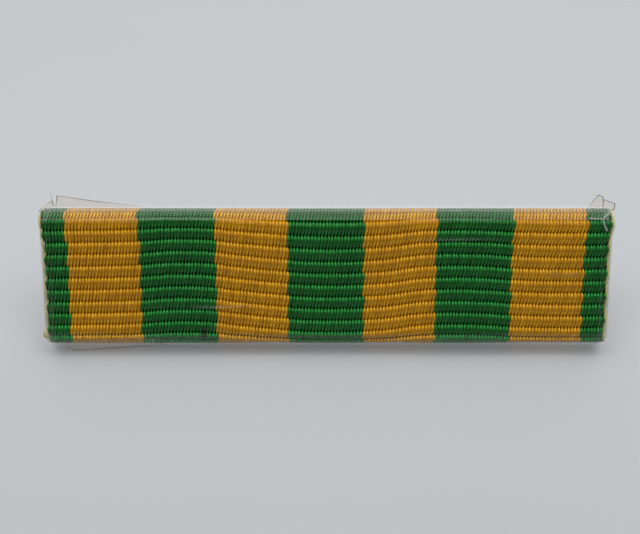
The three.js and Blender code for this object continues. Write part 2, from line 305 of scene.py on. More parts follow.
class RibbonSettings(bpy.types.PropertyGroup):
    """Sizes and colours of the woven ribbon."""

    edge_radius: distance("Edge radius", "Outer radius where the ribbon turns over the bar", 1.05)
    tail_gap: distance("Tail gap", "Gap between the two tails on the back", 2.0)
    ribs: IntProperty(name="Ribs", description="Ribs along the whole ribbon", default=24, min=2)
    edge_threads: IntProperty(name="Edge threads", description="Floats in an edge stripe", default=7)
    gold_threads: IntProperty(name="Gold threads", description="Floats in a gold stripe", default=22)
    green_threads: IntProperty(name="Green threads", description="Floats in a green stripe", default=23)
    gold_stripes: IntProperty(name="Gold stripes", description="Number of gold stripes", default=4)
    float_length: distance("Float length", "Length of one warp float", 1.16)
    float_width: distance("Float width", "Width of one warp float at its widest", 0.26)
    float_thickness: distance("Float thickness", "Thickness of one warp float at its middle", 0.16)
    float_dip: distance("Float dip", "How far a float's lower end dives under the next rib", 0.36)
    float_lean: distance("Float lean", "How far a float's lower end leans to the left", 0.15)
    ground_thickness: distance("Ground thickness", "Thickness of the cloth under the floats", 0.14)
    ground_depth: distance("Ground depth", "Depth of that cloth's valleys under the ribbon's face", 0.34)
    ground_relief: distance("Ground relief", "Height of that cloth's ribs over its valleys", 0.07)
    seed: IntProperty(name="Seed", description="Seed of the weave's irregularity", default=7)
    green: colour("Green", "Green warp", (0.014, 0.31, 0.04))
    gold: colour("Gold", "Gold warp", (0.93, 0.5, 0.002))
    weft: colour("Weft", "Weft thread where it turns at the edge", (0.58, 0.52, 0.23))
    weft_diameter: distance("Weft diameter", "Diameter of a weft thread at the edge", 0.2)


class FilmSettings(bpy.types.PropertyGroup):
    """Sizes and clarity of the wrapping film."""

    radius: distance("Edge radius", "Outer radius of the film over the long edges", 1.21)
    thickness: distance("Thickness", "Thickness of the film", 0.1)
    lap_gap: distance("Lap gap", "Gap between the two layers on the back", 0.03)
    lap_top: distance("Lap top", "Height of the outer flap's free edge", 2.3)
    lap_bottom: distance("Lap bottom", "Depth of the inner flap's free edge", 2.6)
    end_radius: distance("End radius", "Radius of the fold round each end", 0.24)
    haze: share("Haze", "Whitening of the clear film", 0.001)
    # Fold haze scales the painted sheen along the long edges as well as the whitening of the end walls and
    # leaves.
    fold_sheen_and_haze: share("Fold haze", "Extra whitening along the folds", 0.16)
    roughness: share("Roughness", "Roughness of the film's shine", 0.04)
    refraction: share("Refraction", "Index of refraction of the film", 1.42, 3.0)
    chalk: colour("Chalk", "Whitened film", (0.9, 0.9, 0.88))
    aged: colour("Aged", "Whitened film on the stray corners", (0.82, 0.7, 0.6))
    # The rim colours darken the stray corners' edges: painted shade along their cut edges.
    rim: colour("Rim", "Whitened film along the rims of the stray corners", (0.1, 0.09, 0.08))
    rim_tint: colour("Rim tint", "Light let through by those rims", (0.2, 0.19, 0.18))


class FittingSettings(bpy.types.PropertyGroup):
    """Finishes of the pin back and of the pieces inside."""

    plating: colour("Plating", "Nickel plate on the stamped pieces", (0.6, 0.585, 0.55))
    wire: colour("Wire", "Polished pin wire", (0.68, 0.67, 0.65))
    aluminium: colour("Aluminium", "Strip that the ribbon is wrapped over", (0.62, 0.63, 0.64))
    tape: colour("Tape", "Double-sided tape under the tails", (0.72, 0.67, 0.5))
    foam: colour("Foam", "Foam pad under the plate", (0.78, 0.76, 0.7))


class StageSettings(bpy.types.PropertyGroup):
    """Camera, lamps and the pale board behind the bar."""

    elevation: FloatProperty(
        name="Elevation",
        description="How far the camera looks down on the ribbon",
        default=math.radians(15.0),
        subtype="ANGLE",
    )
    reach: distance("Reach", "Distance from the camera to the ribbon", 90.0)
    lens: FloatProperty(name="Lens", description="Focal length in millimetres", default=77.0)
    lean: FloatProperty(
        name="Lean",
        description="How far the board leans back from upright",
        default=math.radians(65.0),
        subtype="ANGLE",
    )
    board: colour("Board", "Board behind the bar", (0.4, 0.418, 0.43))
    sky_radiance: share("Sky", "Radiance of the soft light overhead", 1.05, 10.0)
    rim_radiance: share("Rim", "Radiance of the bright strip along the sky light", 2.4, 10.0)
    key_radiance: share("Key", "Radiance of the soft light above and in front", 2.25, 10.0)
    back_radiance: share("Back light", "Radiance of the soft light behind", 1.0, 10.0)
    ambient: share("Ambient", "Radiance of the surroundings", 0.03, 10.0)


SETTINGS = {
    "bar_ribbon": RibbonSettings,
    "bar_film": FilmSettings,
    "bar_fittings": FittingSettings,
    "bar_stage": StageSettings,
}


# ---------------------------------------------------------------- node trees


class Tree:
    """A node tree being built: adds nodes and feeds their inputs with links or values."""

    def __init__(self, tree):
        self.tree = tree

    @staticmethod
    def geometry(name, inputs):
        """A geometry tree with one geometry in, one out, and the named inputs (name, kind, default)."""
        group = bpy.data.node_groups.new(name, "GeometryNodeTree")
        group.interface.new_socket("Geometry", in_out="INPUT", socket_type="NodeSocketGeometry")
        for label, kind, default in inputs:
            socket = group.interface.new_socket(label, in_out="INPUT", socket_type=kind)
            if default is not None:
                socket.default_value = default
        group.interface.new_socket("Geometry", in_out="OUTPUT", socket_type="NodeSocketGeometry")
        made = Tree(group)
        made.given = made.add("NodeGroupInput").outputs
        return made

    @staticmethod
    def shader(name):
        """A new material's tree, with its output node and nothing else."""
        material = bpy.data.materials.new(name)
        material.use_nodes = True
        material.node_tree.nodes.clear()
        made = Tree(material.node_tree)
        made.material = material
        made.output = made.add("ShaderNodeOutputMaterial")
        return made

    def add(self, kind, inputs=None, **settings):
        node = self.tree.nodes.new(kind)
        for name, value in settings.items():
            setattr(node, name, value)
        for key, value in (inputs or {}).items():
            self.feed(node.inputs[key], value)
        return node

    def feed(self, socket, value):
        if isinstance(value, bpy.types.NodeSocket):
            self.tree.links.new(value, socket)
        else:
            socket.default_value = value

    def math(self, operation, *values):
        node = self.add("ShaderNodeMath", operation=operation)
        for socket, value in zip(node.inputs, values):
            self.feed(socket, value)
        return node.outputs[0]

    def vector(self, operation, *values, out="Vector"):
        node = self.add("ShaderNodeVectorMath", operation=operation)
        for socket, value in zip(node.inputs, values):
            self.feed(socket, value)
        return node.outputs[out]

    def split(self, vector):
        return self.add("ShaderNodeSeparateXYZ", {0: vector}).outputs

    def join(self, x, y, z):
        return self.add("ShaderNodeCombineXYZ", {0: x, 1: y, 2: z}).outputs[0]

    def ramp(self, value, low, high, to_low=0.0, to_high=1.0):
        """Maps value from low..high to to_low..to_high with soft ends."""
        node = self.add(
            "ShaderNodeMapRange",
            {"Value": value, "From Min": low, "From Max": high, "To Min": to_low, "To Max": to_high},
            interpolation_type="SMOOTHSTEP",
        )
        return node.outputs[0]

    def hump(self, value, span):
        """Rises softly from 0 to 1 and falls back, at four places given in millimetres."""
        rise_start, rise_end, fall_start, fall_end = (place * MM for place in span)
        fall = self.ramp(value, fall_start, fall_end, 1.0, 0.0)
        return self.math("MULTIPLY", self.ramp(value, rise_start, rise_end), fall)

    def curve(self, value, points):
        """Looks value up on a smooth curve through points that lie between 0 and 1."""
        node = self.add("ShaderNodeFloatCurve", {"Value": value})
        line = node.mapping.curves[0]
        line.points[0].location, line.points[1].location = points[0], points[-1]
        for point in points[1:-1]:
            line.points.new(*point)
        node.mapping.update()
        return node.outputs[0]

    def mix(self, factor, first, second, blend="MIX"):
        """Mixes two colours."""
        node = self.add("ShaderNodeMix", data_type="RGBA", blend_type=blend)
        self.feed(node.inputs[0], factor)
        self.feed(node.inputs[6], first)
        self.feed(node.inputs[7], second)
        return node.outputs[2]

    def random(self, low, high, seed):
        node = self.add("FunctionNodeRandomValue", data_type="FLOAT")
        self.feed(node.inputs[2], low)
        self.feed(node.inputs[3], high)
        self.feed(node.inputs["Seed"], seed)
        return node.outputs[1]

    def store(self, geometry, name, value, domain="POINT"):
        node = self.add(
            "GeometryNodeStoreNamedAttribute",
            {"Geometry": geometry, "Name": name},
            data_type="FLOAT",
            domain=domain,
        )
        self.feed(node.inputs["Value"], value)
        return node.outputs[0]

    def position(self):
        return self.add("GeometryNodeInputPosition").outputs[0]

    def real(self, geometry):
        """Instances made real mesh."""
        return self.add("GeometryNodeRealizeInstances", {"Geometry": geometry}).outputs[0]

    def place(self, geometry, position):
        return self.add("GeometryNodeSetPosition", {"Geometry": geometry, "Position": position}).outputs[0]

    def finish(self, geometry, material):
        """Ends a geometry tree: real mesh, smooth shading, material."""
        shaded = self.add("GeometryNodeSetShadeSmooth", {"Geometry": self.real(geometry)})
        painted = self.add("GeometryNodeSetMaterial", {"Geometry": shaded.outputs[0]})
        self.feed(painted.inputs["Material"], material)
        self.add("NodeGroupOutput", {"Geometry": painted.outputs[0]})
        return self.tree

    def object_place(self):
        return self.add("ShaderNodeTexCoord").outputs["Object"]

    def attribute(self, name):
        return self.add("ShaderNodeAttribute", attribute_name=name).outputs["Fac"]

    def noise(self, place, scale, detail):
        inputs = {"Vector": place, "Scale": scale, "Detail": detail}
        return self.add("ShaderNodeTexNoise", inputs).outputs[0]

    def bump(self, height, strength, deep):
        """A normal that rises and falls with height, as if by up to deep millimetres."""
        inputs = {"Height": height, "Strength": strength, "Distance": deep * MM}
        return self.add("ShaderNodeBump", inputs).outputs[0]

    def surface(self, shader):
        """Ends a shader tree."""
        self.feed(self.output.inputs["Surface"], shader.outputs[0])
        return self.material


def rgba(value, factor=1.0):
    """A colour with full alpha, scaled by factor where that keeps it within 1."""
    return (*(min(1.0, c * factor) for c in value), 1.0)


def rgba_by(value, factors):
    """A colour with full alpha and each channel scaled by its own factor."""
    return (*(c * factor for c, factor in zip(value, factors)), 1.0)


# ---------------------------------------------------------------- meshes


def mesh_object(name, vertices, faces):
    """A smooth-shaded mesh object in the scene."""
    mesh = bpy.data.meshes.new(name)
    mesh.from_pydata([tuple(v) for v in vertices], [], [tuple(f) for f in faces])
    mesh.update()
    mesh.shade_smooth()
    made = bpy.data.objects.new(name, mesh)
    bpy.context.scene.collection.objects.link(made)
    return made


def grown(name, source, tree, values):
    """Runs a geometry tree on source and returns its result as a plain mesh object."""
    modifier = source.modifiers.new(tree.name, "NODES")
    modifier.node_group = tree
    sockets = {s.name: s.identifier for s in tree.interface.items_tree if s.in_out == "INPUT"}
    for label, value in values.items():
        modifier[sockets[label]] = value
    graph = bpy.context.evaluated_depsgraph_get()
    mesh = bpy.data.meshes.new_from_object(source.evaluated_get(graph), depsgraph=graph)
    source.modifiers.remove(modifier)
    if not mesh.polygons:
        raise RuntimeError(f"{name} came out empty")
    mesh.name = name
    made = bpy.data.objects.new(name, mesh)
    bpy.context.scene.collection.objects.link(made)
    return made


def arc(centre, radius, start, end, steps=14):
    """Points of an arc in the YZ plane, from start to end degrees, without the first."""
    angles = np.radians(np.linspace(start, end, steps + 1)[1:])
    return [(centre[0] + radius * math.cos(a), centre[1] + radius * math.sin(a)) for a in angles]


def wrapped_line(front, back, half_height, radius, upper, lower):
    """The line of a band round the bar, as (y, z): up the back, over, down the front, round and up."""
    top = half_height - radius
    return [
        *upper,
        (back, top),
        *arc((back - radius, top), radius, 0, 90),
        (front + radius, half_height),
        *arc((front + radius, top), radius, 90, 180),
        (front, -top),
        *arc((front + radius, -top), radius, 180, 270),
        (back - radius, -half_height),
        *arc((back - radius, -top), radius, 270, 360),
        *lower,
    ]


def evened(points, step):
    """The same line with its long stretches divided, so that no two points are further apart than step."""
    out = [np.array(points[0], float)]
    for point in points[1:]:
        start, end = out[-1], np.array(point, float)
        parts = max(1, math.ceil(np.linalg.norm(end - start) / step))
        out += [start + (end - start) * k / parts for k in range(1, parts + 1)]
    return np.array(out)


def line_length(points):
    return float(np.linalg.norm(np.diff(np.array(points, float), axis=0), axis=1).sum())


def outward(line):
    """Unit normals of a wrapped line, away from the bar."""
    along = np.gradient(line, axis=0)
    along /= np.linalg.norm(along, axis=1)[:, None]
    return np.column_stack([along[:, 1], -along[:, 0]])


def slab(outer, inner, closed=False):
    """Vertices and faces of the closed body between two grids of points, outer over inner."""
    rows, columns = outer.shape[:2]
    near = np.arange(rows * columns).reshape(rows, columns)
    far = near + rows * columns
    following = [(j, (j + 1) % columns) for j in range(columns if closed else columns - 1)]
    faces = []
    for i in range(rows - 1):
        for j, k in following:
            faces.append((near[i, j], near[i, k], near[i + 1, k], near[i + 1, j]))
            faces.append((far[i + 1, j], far[i + 1, k], far[i, k], far[i, j]))
        if not closed:
            faces.append((near[i, 0], near[i + 1, 0], far[i + 1, 0], far[i, 0]))
            faces.append((near[i + 1, -1], near[i, -1], far[i, -1], far[i + 1, -1]))
    for j, k in following:
        faces.append((near[0, k], near[0, j], far[0, j], far[0, k]))
        faces.append((near[-1, j], near[-1, k], far[-1, k], far[-1, j]))
    return np.concatenate([outer.reshape(-1, 3), inner.reshape(-1, 3)]), faces


# ---------------------------------------------------------------- the ribbon's weave


def ribbon_line(extra=0.0):
    """The ribbon's outer line round the bar, with both tails made longer by extra."""
    ribbon = bpy.context.scene.bar_ribbon
    end = ribbon.tail_gap / 2 - extra
    back = RIBBON_HIGH.y
    return wrapped_line(
        RIBBON_LOW.y, back, RIBBON_HIGH.z, ribbon.edge_radius, [(back, end)], [(back, -end)]
    )


def guide():
    """An object whose edges run along the ribbon's line, for the trees to wrap cloth round."""
    line = evened(ribbon_line(TAIL_LEAD), GUIDE_STEP)
    mesh = bpy.data.meshes.new("ribbon_guide")
    mesh.from_pydata([(0.0, y, z) for y, z in line], [(i, i + 1) for i in range(len(line) - 1)], [])
    made = bpy.data.objects.new("ribbon_guide", mesh)
    bpy.context.scene.collection.objects.link(made)
    return made


def drift_of(tree, across):
    """How far the ribs have slipped down at a place across the ribbon, in metres."""
    half = RIBBON_WIDTH / 2
    place = tree.math("DIVIDE", tree.math("ADD", across, half), RIBBON_WIDTH)
    points = [((x * MM + half) / RIBBON_WIDTH, 0.5 + drop / DRIFT_RANGE) for x, drop in RIB_DRIFT]
    drift = tree.curve(place, points)
    return tree.math("MULTIPLY", tree.math("SUBTRACT", drift, 0.5), DRIFT_RANGE * MM)


def wrap_tree(length):
    """Bends flat cloth (across, up, outwards) round the guide, letting its ribs drift."""
    tree = Tree.geometry("Wrap cloth", [("Guide", "NodeSocketGeometry", None)])
    across, up, out = tree.split(tree.position())
    along = tree.math("MULTIPLY", up, -1.0)
    drift_span = (*DRIFT_GROWS, *(length / MM - place for place in DRIFT_FADES))
    drift = tree.math("MULTIPLY", drift_of(tree, across), tree.hump(along, drift_span))
    slip = tree.math("MULTIPLY", tree.hump(along, TOP_SLIP_SPAN), TOP_SLIP)
    drift = tree.math("SUBTRACT", drift, slip)
    reach = tree.math("ADD", tree.math("ADD", along, drift), TAIL_LEAD)
    line = tree.add("GeometryNodeMeshToCurve", {0: tree.given["Guide"]}).outputs[0]
    sample = tree.add("GeometryNodeSampleCurve", mode="LENGTH")
    tree.feed(sample.inputs["Curves"], line)
    tree.feed(sample.inputs["Length"], reach)
    away = tree.vector("CROSS_PRODUCT", sample.outputs["Tangent"], (1.0, 0.0, 0.0))
    away = tree.vector("NORMALIZE", away)
    offset = tree.add("ShaderNodeVectorMath", {0: away, "Scale": out}, operation="SCALE").outputs[0]
    spread = tree.math("MULTIPLY_ADD", tree.hump(along, TOP_SPREAD_SPAN), TOP_SPREAD, 1.0)
    place = tree.join(tree.math("MULTIPLY", across, spread), 0.0, 0.0)
    base = tree.vector("ADD", sample.outputs["Position"], place)
    placed = tree.place(tree.given["Geometry"], tree.vector("ADD", base, offset))
    tree.add("NodeGroupOutput", {"Geometry": placed})
    return tree.tree


def thread_total(ribbon):
    """Number of floats across the ribbon."""
    inner = ribbon.gold_stripes * ribbon.gold_threads
    inner += (ribbon.gold_stripes - 1) * ribbon.green_threads
    return 2 * ribbon.edge_threads + inner


def gold_at(tree, thread, ribbon):
    """1 where a thread's number falls in a gold stripe, else 0."""
    total = thread_total(ribbon)
    pair = float(ribbon.gold_threads + ribbon.green_threads)
    place = tree.math("SUBTRACT", thread, float(ribbon.edge_threads))
    in_pair = tree.math("FLOORED_MODULO", place, pair)
    gold = tree.math("LESS_THAN", in_pair, float(ribbon.gold_threads) - 0.001)
    after = tree.math("GREATER_THAN", thread, ribbon.edge_threads - 0.001)
    before = tree.math("LESS_THAN", thread, total - ribbon.edge_threads - 0.001)
    return tree.math("MULTIPLY", gold, tree.math("MULTIPLY", after, before))


def wrap(tree, wrapper, flat):
    """Flat cloth run through the wrapping tree, round the tree's own guide."""
    guided = {"Geometry": flat, "Guide": tree.given["Geometry"]}
    return tree.add("GeometryNodeGroup", guided, node_tree=wrapper).outputs[0]


def float_tree(wrapper, ribbon, length):
    """The warp floats of one colour: pointed spindles over every rib, each row half a thread on."""
    tree = Tree.geometry(
        "Warp floats",
        [
            ("Gold", "NodeSocketFloat", 0.0),
            ("Float length", "NodeSocketFloat", ribbon.float_length),
            ("Float width", "NodeSocketFloat", ribbon.float_width),
            ("Float thickness", "NodeSocketFloat", ribbon.float_thickness),
            ("Float dip", "NodeSocketFloat", ribbon.float_dip),
            ("Float lean", "NodeSocketFloat", ribbon.float_lean),
            ("Seed", "NodeSocketInt", ribbon.seed),
            ("Material", "NodeSocketMaterial", None),
        ],
    )
    given = tree.given
    threads, ribs = thread_total(ribbon), ribbon.ribs
    thread_pitch, rib_pitch = RIBBON_WIDTH / threads, length / ribs

    grid = tree.add(
        "GeometryNodeMeshGrid",
        {"Size X": threads - 1.0, "Size Y": ribs - 1.0, "Vertices X": threads, "Vertices Y": ribs},
    )
    place = tree.split(tree.position())
    thread = tree.math("ROUND", tree.math("ADD", place[0], (threads - 1) / 2))
    rib = tree.math("ROUND", tree.math("ADD", place[1], (ribs - 1) / 2))
    gold = gold_at(tree, thread, ribbon)
    differs = tree.math("ABSOLUTE", tree.math("SUBTRACT", gold, given["Gold"]))
    other = tree.math("GREATER_THAN", differs, 0.5)
    kept = tree.add("GeometryNodeDeleteGeometry", {"Geometry": grid.outputs[0], "Selection": other})
    odd = tree.math("FLOORED_MODULO", rib, 2.0)
    step = tree.math("ADD", thread, tree.math("ADD", 0.25, tree.math("MULTIPLY", odd, 0.5)))
    step = tree.math("ADD", step, tree.random(-FLOAT_WANDER, FLOAT_WANDER, given["Seed"]))
    x = tree.math("SUBTRACT", tree.math("MULTIPLY", step, thread_pitch), RIBBON_WIDTH / 2)
    y = tree.math("MULTIPLY", tree.math("ADD", rib, 0.5), -rib_pitch)
    points = tree.place(kept.outputs[0], tree.join(x, y, 0.0))

    ball = tree.add("GeometryNodeMeshUVSphere", {"Segments": FLOAT_SIDES, "Rings": FLOAT_RINGS}).outputs[0]
    round_x, round_y, pole = tree.split(tree.position())
    angle = tree.math("ARCCOSINE", pole)
    girth = tree.math("MAXIMUM", tree.math("SINE", angle), 0.001)
    along = tree.math("DIVIDE", angle, math.pi)
    ball = tree.store(ball, "along", along)
    ball = tree.store(ball, "side", tree.math("DIVIDE", round_x, girth))
    width = tree.curve(along, FLOAT_WIDTHS)
    half_width = tree.math("MULTIPLY", given["Float width"], tree.math("MULTIPLY", width, 0.5))
    half_thick = tree.math("MULTIPLY", given["Float thickness"], 0.5)
    wide = tree.math("MULTIPLY", tree.math("DIVIDE", round_x, girth), half_width)
    lean = tree.math("MULTIPLY", tree.curve(along, FLOAT_LEANS), given["Float lean"])
    wide = tree.math("SUBTRACT", wide, lean)
    tall = tree.math("MULTIPLY", tree.math("SUBTRACT", 0.5, along), given["Float length"])
    swell = tree.math("MULTIPLY_ADD", width, 0.7, 0.3)
    high = tree.math("MULTIPLY", tree.math("DIVIDE", round_y, girth), swell)
    dip = tree.math("MULTIPLY", tree.curve(along, FLOAT_DIPS), given["Float dip"])
    high = tree.math("SUBTRACT", tree.math("MULTIPLY", high, half_thick), tree.math("ADD", dip, half_thick))
    spindle = tree.place(ball, tree.join(wide, tall, high))

    turn = tree.random(-FLOAT_TURN, FLOAT_TURN, tree.math("ADD", given["Seed"], 1))
    size = tree.random(*FLOAT_SIZES, tree.math("ADD", given["Seed"], 2))
    stretch = tree.random(*FLOAT_STRETCHES, tree.math("ADD", given["Seed"], 3))
    stood = tree.add(
        "GeometryNodeInstanceOnPoints",
        {"Points": points, "Instance": spindle, "Scale": tree.join(size, stretch, size)},
    )
    turned = tree.add("FunctionNodeEulerToRotation", {0: tree.join(0.0, 0.0, turn)}).outputs[0]
    tree.feed(stood.inputs["Rotation"], turned)
    tint = tree.random(0.0, 1.0, tree.math("ADD", given["Seed"], 4))
    tinted = tree.store(stood.outputs[0], "tint", tint, "INSTANCE")
    return tree.finish(wrap(tree, wrapper, tree.real(tinted)), given["Material"])


def ground_tree(wrapper, ribbon, length):
    """The ribbed cloth that the floats lie on, as thick as it is woven."""
    tree = Tree.geometry(
        "Ground cloth",
        [
            ("Depth", "NodeSocketFloat", ribbon.ground_depth),
            ("Relief", "NodeSocketFloat", ribbon.ground_relief),
            ("Material", "NodeSocketMaterial", None),
        ],
    )
    threads, ribs = thread_total(ribbon), ribbon.ribs
    rib_pitch = length / ribs
    grid = tree.add(
        "GeometryNodeMeshGrid",
        {
            "Size X": RIBBON_WIDTH,
            "Size Y": length,
            "Vertices X": threads + 1,
            "Vertices Y": ribs * GROUND_ROWS + 1,
        },
    )
    across, up, _ = tree.split(tree.position())
    from_edge = tree.math("ADD", across, RIBBON_WIDTH / 2)
    thread = tree.math("FLOOR", tree.math("DIVIDE", from_edge, RIBBON_WIDTH / threads))
    striped = tree.store(grid.outputs[0], "gold", gold_at(tree, thread, ribbon), "FACE")
    down = tree.math("SUBTRACT", length / 2, up)
    turn = tree.math("MULTIPLY", tree.math("DIVIDE", down, rib_pitch), math.pi)
    swell = tree.math("POWER", tree.math("ABSOLUTE", tree.math("SINE", turn)), 2.0)
    out = tree.math("SUBTRACT", tree.math("MULTIPLY", swell, tree.given["Relief"]), tree.given["Depth"])
    flat = tree.place(striped, tree.join(across, tree.math("MULTIPLY", down, -1.0), out))
    return tree.finish(wrap(tree, wrapper, flat), tree.given["Material"])


def weft_tree(wrapper, ribbon, length):
    """Weft threads where they turn back at the selvedges: shallow bows, each over two ribs."""
    tree = Tree.geometry(
        "Weft turns",
        [
            ("Diameter", "NodeSocketFloat", ribbon.weft_diameter),
            ("Seed", "NodeSocketInt", ribbon.seed + 20),
            ("Material", "NodeSocketMaterial", None),
        ],
    )
    given = tree.given
    pitch = 2 * length / ribbon.ribs
    turns = ribbon.ribs // 2
    ring = tree.add("GeometryNodeCurvePrimitiveCircle", {"Resolution": 8})
    tree.feed(ring.inputs["Radius"], tree.math("MULTIPLY", given["Diameter"], 0.5))
    parts = []
    for side in (-1, 1):
        bow = tree.add("GeometryNodeCurveQuadraticBezier", {"Resolution": 10})
        for socket, point in (("Start", BOW_START), ("Middle", BOW_MIDDLE), ("End", BOW_END)):
            out, share_of_pitch, height = point
            tree.feed(bow.inputs[socket], (side * out * MM, share_of_pitch * pitch, height * MM))
        cord = tree.add(
            "GeometryNodeCurveToMesh",
            {"Curve": bow.outputs[0], "Profile Curve": ring.outputs[0], "Fill Caps": True},
        )
        edge = side * (RIBBON_WIDTH / 2 - BOW_INSET)
        first = -pitch * (0.5 + BOW_STAGGER * side)
        row = tree.add(
            "GeometryNodeMeshLine",
            {"Count": turns, "Start Location": (edge, first, 0.0), "Offset": (0.0, -pitch, 0.0)},
        )
        number = tree.add("GeometryNodeInputIndex").outputs[0]
        loose = tree.math("COMPARE", number, float(LOOSE_TURN if side < 0 else -1), 0.1)
        size = tree.random(*BOW_SIZES, tree.math("ADD", given["Seed"], side + 1))
        size = tree.math("ADD", size, loose)
        tightness = tree.math("MULTIPLY_ADD", loose, -LOOSE_TIGHTENING, BOW_TIGHTNESS)
        stood = tree.add(
            "GeometryNodeInstanceOnPoints",
            {
                "Points": row.outputs[0],
                "Instance": cord.outputs[0],
                "Scale": tree.join(size, tightness, 1.0),
            },
        )
        parts.append(stood.outputs[0])
    joined = tree.add("GeometryNodeJoinGeometry")
    for part in parts:
        tree.feed(joined.inputs[0], part)
    return tree.finish(wrap(tree, wrapper, tree.real(joined.outputs[0])), given["Material"])


# ---------------------------------------------------------------- cloth finishes


def thread_material(name, base, painted_light, shade_powers):
    """Lustrous warp: fine fibres along each float, painted highlight and painted shade along it (darker
    down in the valleys), a little uneven.
    """
    tree = Tree.shader(name)
    tint = tree.attribute("tint")
    along = tree.attribute("along")
    side = tree.attribute("side")
    streak_place = tree.join(tree.math("MULTIPLY", side, 3.2), along, tree.math("MULTIPLY", tint, 40.0))
    streak = tree.noise(streak_place, 1.6, 3.0)
    # Painted highlight and painted shade: a ramp of brightness along each float, each channel falling by
    # its own power.
    painted_ramp = tree.add("ShaderNodeValToRGB", {0: along})
    for place, level in painted_light[1:-1]:
        painted_ramp.color_ramp.elements.new(place).color = rgba([level**fall for fall in shade_powers])
    for stop, (place, level) in ((0, painted_light[0]), (-1, painted_light[-1])):
        painted_ramp.color_ramp.elements[stop].position = place
        painted_ramp.color_ramp.elements[stop].color = rgba([level**fall for fall in shade_powers])
    lustre = tree.math("MULTIPLY_ADD", tint, 0.6, tree.math("MULTIPLY", streak, 0.4))
    body = tree.mix(lustre, rgba(base, 0.72), rgba(base, 1.16))
    # The dye times that painted highlight and shade.
    shaded = tree.mix(1.0, body, painted_ramp.outputs[0], "MULTIPLY")
    where = tree.object_place()
    centre, size, tone = STAIN
    offset = tree.vector("DIVIDE", tree.vector("SUBTRACT", where, centre), size)
    blotch = tree.noise(where, 4200.0, 2.0)
    reach = tree.vector("LENGTH", offset, out="Value")
    reach = tree.math("ADD", reach, tree.math("MULTIPLY", blotch, 0.9))
    shaded = tree.mix(tree.ramp(reach, 0.8, 1.6, 0.8, 0.0), shaded, rgba(tone))
    surface = tree.add(
        "ShaderNodeBsdfPrincipled",
        {
            "Base Color": shaded,
            "Roughness": 0.32,
            "Specular IOR Level": 0.4,
            "Normal": tree.bump(streak, 0.25, 0.01),
        },
    )
    return tree.surface(surface)


def ground_material(ribbon):
    """Cloth seen between the floats: the same stripes, painted dark as the shade there."""
    tree = Tree.shader("ribbon_ground")
    gold = tree.attribute("gold")
    where = tree.object_place()
    grain = tree.noise(where, 9000.0, 3.0)
    # Painted shade: the ground takes the warp colours darkened by the shares above.
    green = tree.mix(grain, *(rgba_by(ribbon.green, factors) for factors in GREEN_GROUND_SHADE))
    warm = tree.mix(grain, *(rgba_by(ribbon.gold, factors) for factors in GOLD_GROUND_SHADE))
    surface = tree.add(
        "ShaderNodeBsdfPrincipled",
        {
            "Base Color": tree.mix(gold, green, warm),
            "Roughness": 0.8,
            "Specular IOR Level": 0.15,
            "Normal": tree.bump(grain, 0.4, 0.02),
        },
    )
    return tree.surface(surface)


def weft_material(ribbon):
    """Pale yellow twisted weft."""
    tree = Tree.shader("ribbon_weft")
    where = tree.object_place()
    grain = tree.noise(where, 7000.0, 4.0)
    surface = tree.add(
        "ShaderNodeBsdfPrincipled",
        {
            "Base Color": tree.mix(grain, rgba(ribbon.weft, 0.5), rgba(ribbon.weft, 1.35)),
            "Roughness": 0.6,
            "Specular IOR Level": 0.3,
            "Normal": tree.bump(grain, 0.5, 0.02),
        },
    )
    return tree.surface(surface)


class RIBBONBAR_OT_ribbon(bpy.types.Operator):
    """Weaves the striped ribbon and wraps it over the bar"""

    bl_idname = "ribbonbar.ribbon"
    bl_label = "Ribbon"

    def execute(self, context):
        ribbon = context.scene.bar_ribbon
        length = line_length(ribbon_line())
        source = guide()
        wrapper = wrap_tree(length)

        cloth = ground_tree(wrapper, ribbon, length)
        ground = grown("ribbon_ground", source, cloth, {"Material": ground_material(ribbon)})
        ply = ground.modifiers.new("Ply", "SOLIDIFY")
        ply.thickness = ribbon.ground_thickness
        ply.offset = -1.0

        weave = float_tree(wrapper, ribbon, length)
        green = thread_material("ribbon_green", ribbon.green, GREEN_PAINTED_LIGHT, GREEN_SHADE_POWERS)
        gold = thread_material("ribbon_gold", ribbon.gold, GOLD_PAINTED_LIGHT, GOLD_SHADE_POWERS)
        turns = weft_tree(wrapper, ribbon, length)
        pieces = [
            grown("ribbon_floats_green", source, weave, {"Gold": 0.0, "Material": green}),
            grown("ribbon_floats_gold", source, weave, {"Gold": 1.0, "Material": gold}),
            grown("ribbon_weft_turns", source, turns, {"Material": weft_material(ribbon)}),
        ]
        bpy.data.objects.remove(source)
        for piece in [ground, *pieces]:
            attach(piece, "bar")
        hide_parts("ribbon")
        return {"FINISHED"}


# ---------------------------------------------------------------- clear film


def ripple(across, along):
    """How far the film stands off its even shape: slow hand-wrapped waves, in metres."""
    slow_across, slow_along, slow_height = SLOW_WAVE
    quick_across, quick_along, quick_height = QUICK_WAVE
    slow = np.sin(across * slow_across + SLOW_BEND * np.sin(along * slow_along))
    quick = np.sin(across * quick_across + along * quick_along + QUICK_START)
    return (slow * slow_height + quick * quick_height) * MM


def rising(values, low, high):
    """0 up to low, 1 from high on and straight in between."""
    return np.clip((values - low) / (high - low), 0.0, 1.0)


